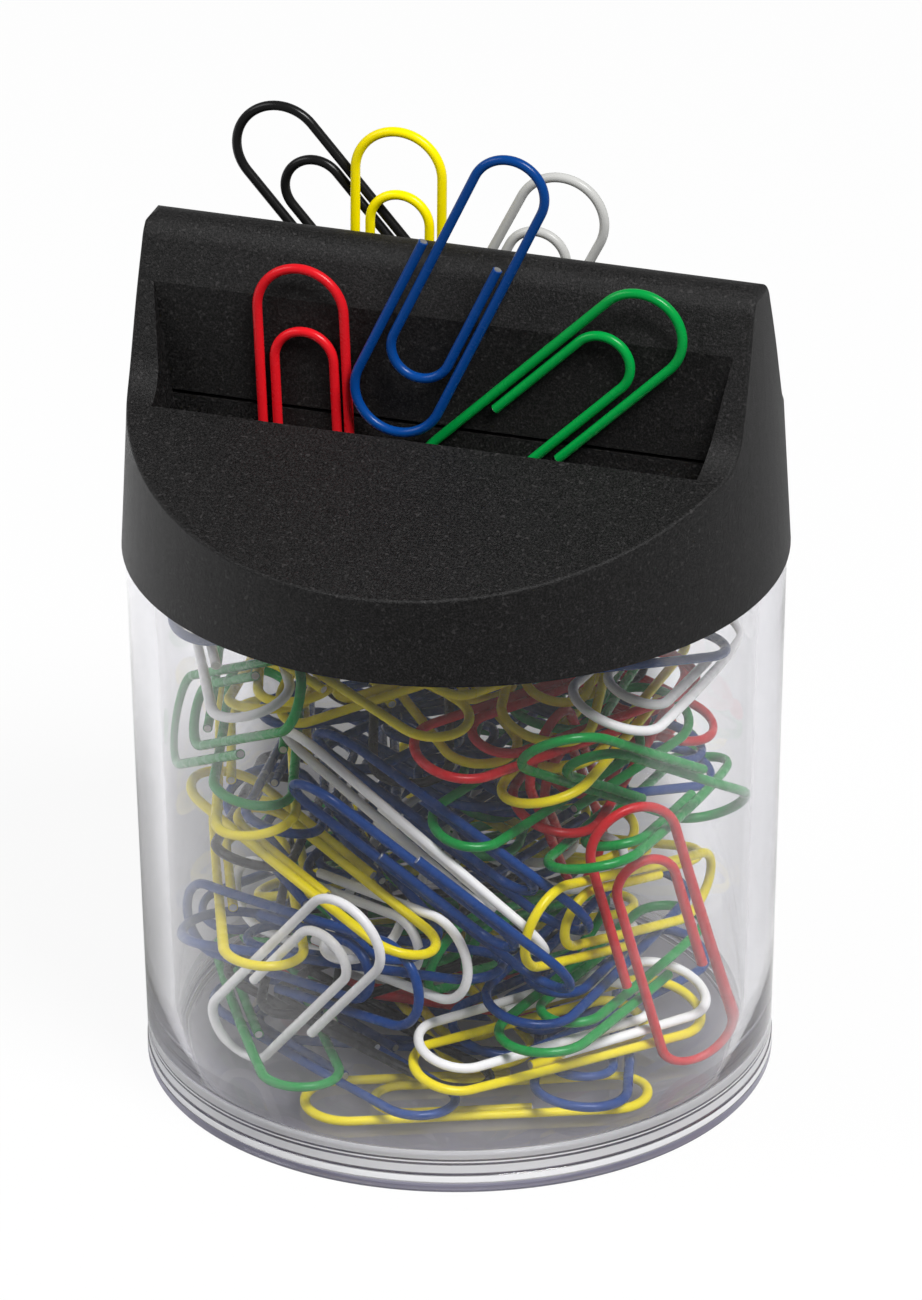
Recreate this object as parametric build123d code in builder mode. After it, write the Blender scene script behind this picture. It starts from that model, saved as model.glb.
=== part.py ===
from build123d import *
import math
import os
import random

import numpy as np

# Magnetic paper clip holder: a clear cup, a push-on cap whose hood holds a bar magnet, and coated paper clips.
# Millimetres, +Z up. The origin is the centre of the cup's underside, the hood's ridge runs along X, the front is -Y.

# Cap and hood
overall_height = 80.0        # underside of the cup to the top of the ridge
cap_rim_radius = 30.0        # lower edge of the cap
rim_height = 51.4            # height of the cap's lower edge
cap_draft = 3.0              # degrees that the cap's side leans in
cap_wall = 1.6
shelf_wall = 1.8
shelf_slope = 15.8           # degrees
shelf_rise = 13.6            # from the cap's lower edge to the top of the shelf at the slot
slot_front = 9.3             # slot's outer edge, from the ridge's middle plane
cove_radius = 4.9            # between the shelf and the hood
hood_lean = 18.9             # degrees from upright
crest_radius = 2.65
crest_wall = 5.0             # from the magnet to the top of the ridge
ridge_corner_radius = 1.1
edge_round = 0.3             # outer edge of the shelf and the hood
scoop_depth = 4.1            # scoop face's foot, from the ridge's middle plane
scoop_lean = 2.0             # degrees from upright
scoop_drop = 0.6             # the scoop face ends this far below the shelf
scoop_half_width = 25.4      # at the shelf's rear height
cheek_draft = 9.5            # degrees that the cheeks' inner faces lean out

# Cup
rim_overhang = 0.3           # the cap stands out past the cup
cup_draft = 1.36             # degrees
cup_wall = 2.5
neck_height = 5.2
neck_wall = 1.1
foot_height = 1.9
foot_step = 0.12             # the foot ring stands out past the wall
foot_ring_width = 2.6
foot_round = 0.5
floor_wall = 1.8
floor_recess = 1.0           # depth of the underside inside the foot ring
floor_round = 1.2            # inside corner between floor and wall

# Fits
cap_clearance = 0.1          # between neck and cap, on the radius
magnet_clearance = 0.1
holder_clearance = 0.1
holder_seam = 0.4            # dark line under the scoop face
contact_gap = 0.15           # a held clip to the face that it lies on

# Magnet and its holder
magnet_length = 40.0
magnet_thickness = 5.0
magnet_chamfer = 0.4
cavity_half_length = 24.0
holder_depth = 5.4
holder_wall = 1.5
tongue_height = 1.0

# Paper clip, from the outside of the wire's coating
clip_length = 31.1
clip_width = 9.0
wire_diameter = 0.88
core_diameter = 0.66
core_stub = 0.08             # bare steel that stands out at the cut ends
outer_pitch = 1.4            # first run to third run
inner_pitch = 1.15           # second run to fourth run
inner_tip = 6.1              # big bend to inner bend
first_end = 18.5             # from the big bend to the first cut end
last_end = 19.8              # from the big bend to the last cut end

# Heap of loose clips
point_spacing = 0.9          # along the wire, for the settling
heap_gap = 0.08              # least gap between loose clips
heap_headroom = 1.1          # no loose clip lies higher than this far below the neck's edge
wall_layer = 7.0             # clips between the placed ones lie this near to the wall
front_wall_tries = 900
front_azimuths = (-170, 165)  # start and span, degrees
front_heights = (4, 52)
front_leans = (78, 102)      # nearly level, degrees
front_rolls = (70, 110)      # nearly flat, degrees
back_wall_tries = 120
back_azimuths = (10, 210)
back_heights = (8, 50)
back_leans = (60, 120)
back_rolls = (-40, 110)
golden_share = 0.618         # of the span from one azimuth to the next, which spreads them evenly
dropped_clips = 70
drop_tries = 90
shake_tries = 30
heap_slope = 0.3             # largest slope of a dropped clip
shake_reach = (1.5, 1.5, 0.15, 0.08, 0.08)  # x, y, heading, slope along the clip and across it
heap_seed = 21

# Derived values
shoulder_radius = cap_rim_radius - rim_overhang
neck_top = rim_height + neck_height
skirt_bore = shoulder_radius - cup_wall + neck_wall + cap_clearance
floor_top = floor_recess + floor_wall
shelf_rear_height = rim_height + shelf_rise
scoop_foot_height = shelf_rear_height - scoop_drop
magnet_bottom = scoop_foot_height - holder_seam + tongue_height
magnet_height = overall_height - crest_wall - magnet_bottom
cavity_half_width = magnet_thickness / 2 + magnet_clearance
heap_top = neck_top - heap_headroom
heap_reach = shoulder_radius - cup_wall - clip_width
wire_radius = wire_diameter / 2
touch = wire_diameter + heap_gap
sampled_touch = math.hypot(touch, point_spacing / math.sqrt(2))
cell_steps = np.array([1000.0, 1.0])  # a row of cells is wider than the cup
nearby_cells = np.array([1000.0 * i + j for i in (-1, 0, 1) for j in (-1, 0, 1)])


def tan(degrees):
    return math.tan(math.radians(degrees))


def cap_radius(z):
    return cap_rim_radius - (z - rim_height) * tan(cap_draft)


def cup_radius(z):
    return shoulder_radius - (rim_height - z) * tan(cup_draft)


def shelf_height(y):
    return shelf_rear_height - (abs(y) - slot_front) * tan(shelf_slope)


def corner(sketch, x, y):
    return sketch.vertices().sort_by_distance((x, y))[0]


# Cup: turned profile with a foot ring, a thick floor, a drafted wall, and a neck for the cap
with BuildPart() as cup:
    with BuildSketch(Plane.XZ) as cup_profile:
        foot_radius = cup_radius(0) + foot_step
        inner_floor_radius = cup_radius(floor_top) - cup_wall
        inner_neck_radius = shoulder_radius - cup_wall
        with BuildLine():
            Polyline(
                (0, floor_recess),
                (foot_radius - foot_ring_width, floor_recess),
                (foot_radius - foot_ring_width, 0),
                (foot_radius, 0),
                (foot_radius, foot_height),
                (cup_radius(foot_height), foot_height + foot_step),
                (shoulder_radius, rim_height),
                (inner_neck_radius + neck_wall, rim_height),
                (inner_neck_radius + neck_wall, neck_top),
                (inner_neck_radius, neck_top),
                (inner_neck_radius, rim_height),
                (inner_floor_radius, floor_top),
                (0, floor_top),
                close=True,
            )
        make_face()
        fillet(corner(cup_profile, foot_radius, 0), foot_round)
        fillet(corner(cup_profile, inner_floor_radius, floor_top), floor_round)
    revolve(axis=Axis.Z)
cup.part.label = "cup"

# Hollow of the cap: the bore over the neck, then the room under the shelf
with BuildPart() as cap_hollow:
    bore_top = neck_top + holder_seam
    with BuildSketch(Plane.XZ):
        with BuildLine():
            Polyline(
                (0, rim_height - 1),
                (skirt_bore, rim_height - 1),
                (skirt_bore, bore_top),
                (cap_radius(bore_top) - cap_wall, bore_top),
                (cap_radius(overall_height) - cap_wall, overall_height),
                (0, overall_height),
                close=True,
            )
        make_face()
    revolve(axis=Axis.Z)
    shelf_drop = shelf_wall / math.cos(math.radians(shelf_slope))
    with BuildSketch(Plane.YZ):
        with BuildLine():
            Polyline(
                (-cap_rim_radius, rim_height - 2),
                (-cap_rim_radius, shelf_height(cap_rim_radius) - shelf_drop),
                (-slot_front, shelf_rear_height - shelf_drop),
                (slot_front, shelf_rear_height - shelf_drop),
                (cap_rim_radius, shelf_height(cap_rim_radius) - shelf_drop),
                (cap_rim_radius, rim_height - 2),
                close=True,
            )
        make_face()
    extrude(amount=cap_rim_radius, both=True, mode=Mode.INTERSECT)

# Scoop in front of the magnet, with the slot at its foot: cheeks on both sides lean out
with BuildPart() as scoop:
    slot_bottom = shelf_rear_height - 2 * shelf_wall
    scoop_top = overall_height
    with BuildSketch(Plane.YZ):
        scoop_rise = (scoop_top - scoop_foot_height) * tan(scoop_lean)
        with BuildLine():
            Polyline(
                (-slot_front, slot_bottom),
                (-slot_front, scoop_top),
                (-scoop_depth + scoop_rise, scoop_top),
                (-scoop_depth, scoop_foot_height),
                (-scoop_depth, slot_bottom),
                close=True,
            )
        make_face()
    extrude(amount=cap_rim_radius, both=True)
    with BuildSketch(Plane.XZ):
        low_half = scoop_half_width - (shelf_rear_height - slot_bottom) * tan(cheek_draft)
        high_half = scoop_half_width + (scoop_top - shelf_rear_height) * tan(cheek_draft)
        with BuildLine():
            Polyline(
                (-low_half, slot_bottom),
                (low_half, slot_bottom),
                (high_half, scoop_top),
                (-high_half, scoop_top),
                close=True,
            )
        make_face()
    extrude(amount=cap_rim_radius, both=True, mode=Mode.INTERSECT)

# Cap: a drafted round skirt with a sloped shelf front and rear, and the hood across the middle
with BuildPart() as cap:
    with BuildSketch(Plane.YZ):
        with BuildLine():
            Polyline(
                (0, rim_height),
                (cap_rim_radius, rim_height),
                (cap_radius(overall_height), overall_height),
                (0, overall_height),
                close=True,
            )
        make_face()
    revolve(axis=Axis.Z)
    with BuildSketch(Plane.YZ) as side_profile:
        apex = overall_height - crest_radius + crest_radius / math.sin(math.radians(hood_lean))
        reach = cap_rim_radius + 1
        hood_foot = ((apex - shelf_rear_height) - slot_front * tan(shelf_slope)) / (1 / tan(hood_lean) - tan(shelf_slope))
        with BuildLine():
            Polyline(
                (-reach, rim_height),
                (-reach, shelf_height(reach)),
                (-hood_foot, shelf_height(hood_foot)),
                (0, apex),
                (hood_foot, shelf_height(hood_foot)),
                (reach, shelf_height(reach)),
                (reach, rim_height),
                close=True,
            )
        make_face()
        fillet(corner(side_profile, 0, apex), crest_radius)
        fillet(corner(side_profile, -hood_foot, shelf_height(hood_foot)), cove_radius)
        fillet(corner(side_profile, hood_foot, shelf_height(hood_foot)), cove_radius)
    extrude(amount=reach, both=True, mode=Mode.INTERSECT)
    upper_edges = cap.faces().filter_by(GeomType.CONE).edges().filter_by(GeomType.LINE, reverse=True)
    fillet(upper_edges.filter_by(lambda edge: edge.center().Z > rim_height + edge_round), edge_round)
    with BuildSketch(Plane.XZ) as front_profile:
        top_half = cap_radius(overall_height)
        corner_foot = overall_height - ridge_corner_radius
        with BuildLine():
            Polyline(
                (-reach, rim_height),
                (reach, rim_height),
                (reach, corner_foot),
                (cap_radius(corner_foot), corner_foot),
                (top_half, overall_height),
                (-top_half, overall_height),
                (-cap_radius(corner_foot), corner_foot),
                (-reach, corner_foot),
                close=True,
            )
        make_face()
        fillet(corner(front_profile, top_half, overall_height), ridge_corner_radius)
        fillet(corner(front_profile, -top_half, overall_height), ridge_corner_radius)
    extrude(amount=reach, both=True, mode=Mode.INTERSECT)
    add(cap_hollow.part, mode=Mode.SUBTRACT)
    add(scoop.part, mode=Mode.SUBTRACT)
    add(scoop.part.mirror(Plane.XZ), mode=Mode.SUBTRACT)
    bay_bottom = shelf_rear_height - 3 * shelf_wall
    with BuildSketch(Plane.XY.offset(bay_bottom)):
        Rectangle(2 * (cavity_half_length + holder_wall), 2 * scoop_depth)
    extrude(amount=scoop_foot_height - bay_bottom, mode=Mode.SUBTRACT)
    with BuildSketch(Plane.XY.offset(bay_bottom)):
        Rectangle(2 * cavity_half_length, 2 * cavity_half_width)
    extrude(amount=magnet_bottom + magnet_height + magnet_clearance - bay_bottom, mode=Mode.SUBTRACT)
cap.part.label = "cap"

# Magnet holder: a channel whose tongue closes the hood's cavity under the magnet
with BuildPart() as magnet_holder:
    holder_top = scoop_foot_height - holder_seam
    holder_length = 2 * (cavity_half_length + holder_wall - holder_clearance)
    with BuildSketch(Plane.XY.offset(holder_top - holder_depth)):
        Rectangle(holder_length, 2 * scoop_depth)
    extrude(amount=holder_depth)
    with BuildSketch(Plane.XY.offset(holder_top - holder_depth)):
        Rectangle(holder_length - 2 * holder_wall, 2 * (scoop_depth - holder_wall))
    extrude(amount=holder_depth - holder_wall, mode=Mode.SUBTRACT)
    with BuildSketch(Plane.XY.offset(holder_top)):
        Rectangle(2 * (cavity_half_length - holder_clearance), 2 * (cavity_half_width - holder_clearance))
    extrude(amount=magnet_bottom - holder_top)
magnet_holder.part.label = "magnet_holder"

# Bar magnet
with BuildPart() as magnet:
    with BuildSketch(Plane.XY.offset(magnet_bottom)):
        Rectangle(magnet_length, magnet_thickness)
    extrude(amount=magnet_height)
    chamfer(magnet.edges(), magnet_chamfer)
magnet.part.label = "magnet"

# Paper clip in its own frame: flat in XY, the big bend at -Y, four runs and three bends
with BuildPart() as clip:
    half_length = (clip_length - wire_diameter) / 2
    big_bend = (clip_width - wire_diameter) / 2
    third_run = -big_bend + outer_pitch
    fourth_run = big_bend - inner_pitch
    small_bend = (big_bend - third_run) / 2
    inner_bend = (fourth_run - third_run) / 2
    inner_foot = -half_length + inner_tip + inner_bend
    first_cut = (-big_bend, -half_length + first_end)
    last_cut = (fourth_run, -half_length + last_end)
    with BuildLine() as clip_line:
        Line(first_cut, (-big_bend, -half_length + big_bend))
        ThreePointArc(
            (-big_bend, -half_length + big_bend), (0, -half_length), (big_bend, -half_length + big_bend)
        )
        Line((big_bend, -half_length + big_bend), (big_bend, half_length - small_bend))
        ThreePointArc(
            (big_bend, half_length - small_bend),
            (big_bend - small_bend, half_length),
            (third_run, half_length - small_bend),
        )
        Line((third_run, half_length - small_bend), (third_run, inner_foot))
        ThreePointArc((third_run, inner_foot), (third_run + inner_bend, inner_foot - inner_bend), (fourth_run, inner_foot))
        Line((fourth_run, inner_foot), last_cut)
    with BuildSketch(Plane(origin=(*first_cut, 0), z_dir=(0, -1, 0))):
        Circle(wire_radius)
    sweep(path=clip_line.line)
    for cut in (first_cut, last_cut):
        with BuildSketch(Plane(origin=(*cut, 0), z_dir=(0, 1, 0))):
            Circle(core_diameter / 2)
        extrude(amount=core_stub)
clip_wire = clip_line.wires()[0]
point_count = round(clip_wire.length / point_spacing)
clip_points = np.array([tuple(clip_wire @ (i / point_count)) for i in range(point_count + 1)])

# Clips that the magnet holds: colour, side of the hood (-1 front), layer, middle's x and its height above the
# scoop's foot, lean of the clip's +Y from up, turned over or not
held_clips = [
    ("red", -1, 0, -12.45, -1.4, 178.0, True),
    ("blue", -1, 1, 1.3, 13.6, 25.2, False),
    ("green", -1, 0, 10.7, 3.8, 225.5, False),
    ("black", 1, 1, -11.0, 12.0, 139.1, True),
    ("yellow", 1, 0, -6.85, 8.7, 180.8, True),
    ("white", 1, 2, 2.8, 6.5, 206.7, False),
]

# Clips that lie against the wall: colour, azimuth, height, lean of the clip's +Y from up, how far its foot leans
# towards the axis, its roll about its own length towards facing up, turned over or not. Degrees and millimetres.
wall_clips = [
    ("white", -113, 15, -138, 12, 0, False),
    ("yellow", -118, 25.5, 104, 0, 102, False),
    ("red", -19, 14.5, 163, -3, -30, True),
    ("white", -34, 9.5, -86, 0, 75, False),
    ("yellow", -37, 8, -86, 0, 75, True),
    ("black", -114, 8, 94, 0, 100, False),
    ("black", -110, 10.5, 96, 0, 104, True),
    ("blue", -120, 5.5, 92, 0, 92, False),
    ("black", -116, 12.5, 94, 0, 98, False),
    ("yellow", -17, 19.5, 106, 0, -10, True),
    ("white", -117, 18, -94, 0, 0, True),
    ("white", -86, 29, -50, 0, -50, False),
    ("blue", -78, 27, -50, 0, -50, True),
    ("blue", -74, 30, -50, 0, -50, False),
    ("green", -133, 40, 62, 0, 20, True),
    ("green", -24, 35, 122, 0, -52, False),
    ("white", -4, 43, 95, 0, 70, False),
    ("yellow", -24, 46, -85, 0, 60, True),
    ("green", -14, 13.5, 106, 0, -20, False),
    ("blue", -117, 17, -97, 0, 0, False),
    ("yellow", -93, 45, 62, 0, 60, False),
    ("red", -34, 40, 90, 0, 75, True),
    ("green", -24, 33, -96, 0, 75, False),
    ("red", -8, 28, 140, 10, 0, False),
    ("yellow", -20, 25, 100, 0, -15, False),
    ("black", -112, 10, -93, 0, 0, True),
    ("blue", -14, 11, 104, 0, -20, True),
    ("blue", -60, 38, 95, 0, 75, False),
    ("blue", -100, 45, -80, 0, 70, False),
    ("black", -95, 36, -85, 0, 80, False),
    ("blue", -40, 24, 95, 0, 20, False),
    ("red", -96, 32, -50, 0, -50, True),
    ("blue", -62, 10, 82, 0, 88, True),
    ("blue", -58, 14, 76, 0, 92, False),
]

# Clips that lie on the floor near the front: colour, x, y, heading
floor_clips = [
    ("yellow", 6.2, -14.2, 23),
    ("blue", -7.5, -14.6, -3),
    ("blue", 14.5, -9, 45),
    ("green", -14, -11, -50),
    ("blue", -3, -6, 10),
    ("yellow", -4, 2, 100),
]

loose_colours = ["blue"] * 4 + ["black"] * 2 + ["yellow"] * 2 + ["green"] * 2 + ["red", "white"]


def frame_from(middle, along, normal):
    """Middle and rotation of a clip whose +Y runs along one direction and whose +Z is square to its plane."""
    y = np.array(along) / np.linalg.norm(along)
    z = np.array(normal) - np.dot(normal, y) * y
    z = z / np.linalg.norm(z)
    return np.array(middle, dtype=float), np.column_stack([np.cross(y, z), y, z])


def held_pose(side, layer, x, rise, lean, turned_over):
    stand_off = scoop_depth + contact_gap + wire_radius + layer * (wire_diameter + contact_gap)
    lean = math.radians(lean)
    normal = (0, 1, 0) if turned_over else (0, -1, 0)
    middle = (x, side * stand_off, scoop_foot_height + rise)
    return frame_from(middle, (math.sin(lean), 0, math.cos(lean)), normal)


def wall_pose(azimuth, height, lean, foot, roll, turned_over):
    azimuth, lean, foot, roll = np.radians([azimuth, lean, foot, roll])
    outward = np.array([math.cos(azimuth), math.sin(azimuth), 0])
    tangent = np.array([-math.sin(azimuth), math.cos(azimuth), 0])
    up = np.array([0, 0, math.cos(foot)]) + math.sin(foot) * outward
    along = math.cos(lean) * up + math.sin(lean) * tangent
    facing = np.cross(tangent, up)
    upper_side = np.cross(facing, along)
    upper_side = upper_side * np.sign(upper_side[2])
    normal = math.cos(roll) * facing + math.sin(roll) * upper_side
    return frame_from((0, 0, height), along, -normal if turned_over else normal)


def points_at(pose):
    middle, turn = pose
    return clip_points @ turn.T + middle


def in_columns(placed, direction):
    """The points that are already placed, sorted by the cells that they fall in when seen along a direction."""
    across = np.cross(direction, (1, 0, 0) if abs(direction[0]) < 0.7 else (0, 1, 0))
    across = across / np.linalg.norm(across)
    sides = np.column_stack([across, np.cross(direction, across)])
    keys = np.floor(placed @ sides / sampled_touch) @ cell_steps
    order = np.argsort(keys)
    return direction, sides, keys[order], placed[order]


def clear_travel(points, columns):
    """Least travel along the columns that brings the points clear of every wire that is already placed."""
    direction, sides, keys, placed = columns
    wanted = np.floor(points @ sides / sampled_touch) @ cell_steps
    wanted = (wanted[:, None] + nearby_cells).ravel()
    first = np.searchsorted(keys, wanted, "left")
    count = np.searchsorted(keys, wanted, "right") - first
    step = np.arange(count.sum()) - np.repeat(np.cumsum(count) - count, count)
    own = np.repeat(np.repeat(points, len(nearby_cells), axis=0), count, axis=0)
    away = placed[np.repeat(first, count) + step] - own
    along = away @ direction
    spare = sampled_touch**2 - (away**2).sum(axis=1) + along**2
    hit = spare > 0
    half = np.sqrt(spare[hit])
    starts, ends = along[hit] - half, along[hit] + half
    order = np.argsort(starts)
    travel = 0.0
    for start, end in zip(starts[order], ends[order]):
        if start > travel:
            break
        travel = max(travel, end)
    return travel


def room_at(z):
    """How far from the axis the middle of a wire may lie at a height in the cup."""
    return cup_radius(z) - cup_wall - wire_radius - heap_gap


lowest_wire = floor_top + wire_radius + heap_gap


def stand_at_wall(placed, layer, azimuth, height, lean, foot, roll, turned_over):
    """Pose of a clip as near to the wall as the clips already placed allow, or None where that is behind the layer."""
    middle, turn = wall_pose(azimuth, height, lean, foot, roll, turned_over)
    outward = np.array([math.cos(math.radians(azimuth)), math.sin(math.radians(azimuth)), 0])
    points = points_at((middle, turn))
    lift = max(0.0, lowest_wire + floor_round / 2 - points[:, 2].min())
    lift -= max(0.0, points[:, 2].max() + lift - heap_top)
    points[:, 2] += lift
    forward = points @ outward
    across = (points[:, :2] ** 2).sum(axis=1) - forward**2
    to_wall = (np.sqrt(np.maximum(room_at(points[:, 2]) ** 2 - across, 0)) - forward).min()
    back = clear_travel(points + to_wall * outward, in_columns(placed, -outward))
    if back > layer:
        return None
    return middle + [0, 0, lift] + (to_wall - back) * outward, turn


def settle(columns, middle, along, normal):
    """Pose of a clip at the lowest free place over a point, or None where the wall or the heap's top is in the way."""
    middle, turn = frame_from(middle, along, normal)
    points = points_at((middle, turn))
    radius = np.hypot(points[:, 0], points[:, 1])
    if radius.max() > room_at(floor_top):
        return None
    lift = lowest_wire - points[:, 2].min()
    lift += clear_travel(points + [0, 0, lift], columns)
    height = points[:, 2] + lift
    corner_room = room_at(floor_top) - floor_round + (height - floor_top)
    if (radius > corner_room).any() or height.max() > heap_top:
        return None
    return middle + [0, 0, lift], turn


def drop(columns, stance, turned_over):
    """Pose of a clip that is let fall flat at a place and heading, with a slope along it and across it."""
    x, y, heading, rise, roll = stance
    along = (math.cos(heading), math.sin(heading), rise)
    normal = (-math.sin(heading) * roll, math.cos(heading) * roll, -1 if turned_over else 1)
    return settle(columns, (x, y, 0), along, normal)


def spread(azimuths, index):
    start, span = azimuths
    return start + span * ((index * golden_share) % 1)


def make_heap():
    """Places the loose clips one after another, and returns their poses by colour."""
    rng = random.Random(heap_seed)
    heap = {colour: [] for colour in sorted(set(loose_colours))}
    lifts = np.arange(0, heap_top - rim_height + 2 * clip_width, point_spacing)
    hanging = [points_at(held_pose(*held[1:])) + [0, 0, lift] for held in held_clips for lift in lifts]
    placed = np.concatenate(hanging)
    placed = placed[placed[:, 2] < heap_top + touch]

    def keep(colour, pose):
        nonlocal placed
        if pose is not None:
            heap[colour].append(pose)
            placed = np.concatenate([placed, points_at(pose)])

    def shake_down(stances, turned_over):
        """Drops a clip at the lowest of the places, then shakes it down further."""
        lowest = None
        columns = in_columns(placed, np.array([0.0, 0.0, 1.0]))
        for attempt in range(len(stances) + shake_tries):
            if attempt < len(stances):
                stance = stances[attempt]
            elif lowest is not None:
                stance = [value + rng.uniform(-reach, reach) for value, reach in zip(lowest[1], shake_reach)]
            pose = drop(columns, stance, turned_over)
            if pose is not None and (lowest is None or pose[0][2] < lowest[0][0][2]):
                lowest = (pose, stance)
        return None if lowest is None else lowest[0]

    def somewhere():
        bearing = rng.uniform(0, 2 * math.pi)
        radius = heap_reach * math.sqrt(rng.random())
        heading = bearing + math.pi / 2 + rng.uniform(-1, 1) * (1.6 - radius / 14)
        slopes = [rng.uniform(-heap_slope, heap_slope) for _ in range(2)]
        return [radius * math.cos(bearing), radius * math.sin(bearing), heading, *slopes]

    for colour, *stance in wall_clips:
        keep(colour, stand_at_wall(placed, shoulder_radius / 2, *stance))
    for colour, x, y, heading in floor_clips:
        nearby = [[x, y, math.radians(heading), 0, 0]]
        for _ in range(drop_tries):
            nearby.append([value + rng.uniform(-reach, reach) for value, reach in zip(nearby[0], shake_reach)])
        keep(colour, shake_down(nearby, False))
    for index in range(front_wall_tries):
        azimuth = spread(front_azimuths, index)
        lean, roll = rng.uniform(*front_leans), rng.uniform(*front_rolls)
        stance = (azimuth, rng.uniform(*front_heights), lean, 0, roll, rng.random() < 0.5)
        keep(rng.choice(loose_colours), stand_at_wall(placed, wall_layer, *stance))
    for index in range(dropped_clips):
        keep(rng.choice(loose_colours), shake_down([somewhere() for _ in range(drop_tries)], index % 2))
    for index in range(back_wall_tries):
        azimuth, height, lean = spread(back_azimuths, index), rng.uniform(*back_heights), rng.uniform(*back_leans)
        stance = (azimuth, height, lean, 0, rng.uniform(*back_rolls), rng.random() < 0.5)
        keep(rng.choice(loose_colours), stand_at_wall(placed, wall_layer, *stance))
    return heap


def clip_at(pose):
    """The clip's solid, carried to a pose."""
    middle, turn = pose
    return clip.part.moved(Location(Plane(origin=tuple(middle), x_dir=tuple(turn[:, 0]), z_dir=tuple(turn[:, 2]))))


os.makedirs("parts", exist_ok=True)
for piece in (cup, cap, magnet_holder, magnet):
    export_step(piece.part, f"parts/{piece.part.label}.step")
for held in held_clips:
    solid = clip_at(held_pose(*held[1:]))
    solid.label = f"held_clip_{held[0]}"
    export_step(solid, f"parts/{solid.label}.step")
for colour, poses in make_heap().items():
    group = Compound(label=f"loose_clips_{colour}", children=[clip_at(pose) for pose in poses])
    export_step(group, f"parts/{group.label}.step")
    print(group.label, len(poses))
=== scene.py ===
"""Looks of a magnetic paper clip holder: a clear cup of coated clips under a grained black cap."""

import math

import bmesh
import bpy
import numpy as np
from bpy.props import FloatProperty, FloatVectorProperty, IntProperty, PointerProperty
from mathutils import Matrix, Vector


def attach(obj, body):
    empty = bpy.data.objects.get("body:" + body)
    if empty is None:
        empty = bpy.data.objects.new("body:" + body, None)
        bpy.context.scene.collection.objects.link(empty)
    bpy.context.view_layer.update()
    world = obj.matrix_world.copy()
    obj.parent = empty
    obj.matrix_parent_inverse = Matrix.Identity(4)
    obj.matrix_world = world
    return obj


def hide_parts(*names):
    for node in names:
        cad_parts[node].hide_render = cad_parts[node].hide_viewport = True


bl_info = {
    "name": "Paper Clip Holder",
    "version": (1, 0, 0),
    "blender": (4, 5, 0),
    "location": "3D Viewport > Sidebar > Clip Holder",
    "description": "Materials, light and camera for a magnetic paper clip holder",
    "category": "Object",
}

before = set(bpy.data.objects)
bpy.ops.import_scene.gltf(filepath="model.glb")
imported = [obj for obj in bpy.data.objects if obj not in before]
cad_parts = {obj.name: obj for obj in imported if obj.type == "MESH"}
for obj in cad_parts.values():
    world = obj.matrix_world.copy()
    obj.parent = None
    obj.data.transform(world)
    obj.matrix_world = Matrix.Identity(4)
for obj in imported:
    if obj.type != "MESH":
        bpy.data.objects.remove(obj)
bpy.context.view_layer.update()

MM = 0.001
CLIP_COLOURS = ("red", "blue", "green", "black", "yellow", "white")

WHITE = (1.0, 1.0, 1.0, 1.0)
BLACK = (0.0, 0.0, 0.0, 1.0)
CUT_SHADES = ((0.45, 0.45, 0.46, 1.0), (0.82, 0.82, 0.8, 1.0))
FERRITE_SHADES = ((0.035, 0.035, 0.038, 1.0), (0.1, 0.1, 0.105, 1.0))
PLASTIC_IOR = 1.5

# Scales of the textures, per metre.
COAT_CLOUDS = 90.0
COAT_SMEARS = 900.0
COAT_WAVES = 700.0
CUT_MARKS = 5000.0
CAP_CLOUDS = 45.0
FERRITE_GRAIN = 2600.0
GRINDING_LINES = 900.0
WALL_WAVES = 55.0
WALL_HAZE = 240.0
TABLE_CLOUDS = 6.0

# Depths of the reliefs, metres.
COAT_DEPTH = 0.03 * MM
CUT_DEPTH = 0.05 * MM
FERRITE_DEPTH = 0.04 * MM
WALL_DEPTH = 0.6 * MM

# Points on the rounds of the cup's half section, and along its wall.
EDGE_STEPS = 4
FOOT_STEPS = 9
FLOOR_STEPS = 8
WALL_STEPS = 9
SHARP_ANGLE = math.radians(32)

# Where the room is brighter, as parts of a way's rise or of its run from or to the camera.
LOW_LIGHT = (0.25, 0.75)
BACK_LIGHT = (0.0, 0.8)
FRONT_LIGHT = (0.2, 0.9)

TABLE_HALF = 4.0
TABLE_DROP = 0.02 * MM
AIM_HEIGHT = 0.04
SENSOR_WIDTH = 36.0
VIEW_END = 20.0
PLACE_SLACK = 0.01 * MM
AREA_SLACK = 0.1

# Painted light and painted shade in rings on the foot, standing in for the lines that its edges throw in the
# clear plastic: from, to (millimetres) and strength.
RING_SOFTNESS = 0.04
PAINTED_LIGHT_RINGS = ((1.2, 1.8, 0.75), (2.1, 2.9, 0.6), (3.15, 3.3, 0.7), (3.5, 4.4, 0.4))
PAINTED_LILAC_LIGHT_RINGS = ((0.1, 1.1, 0.55),)
PAINTED_SHADE_RINGS = ((0.55, 0.8, 0.3), (1.88, 2.02, 0.5), (2.95, 3.08, 0.45), (3.36, 3.44, 0.35))


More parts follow.
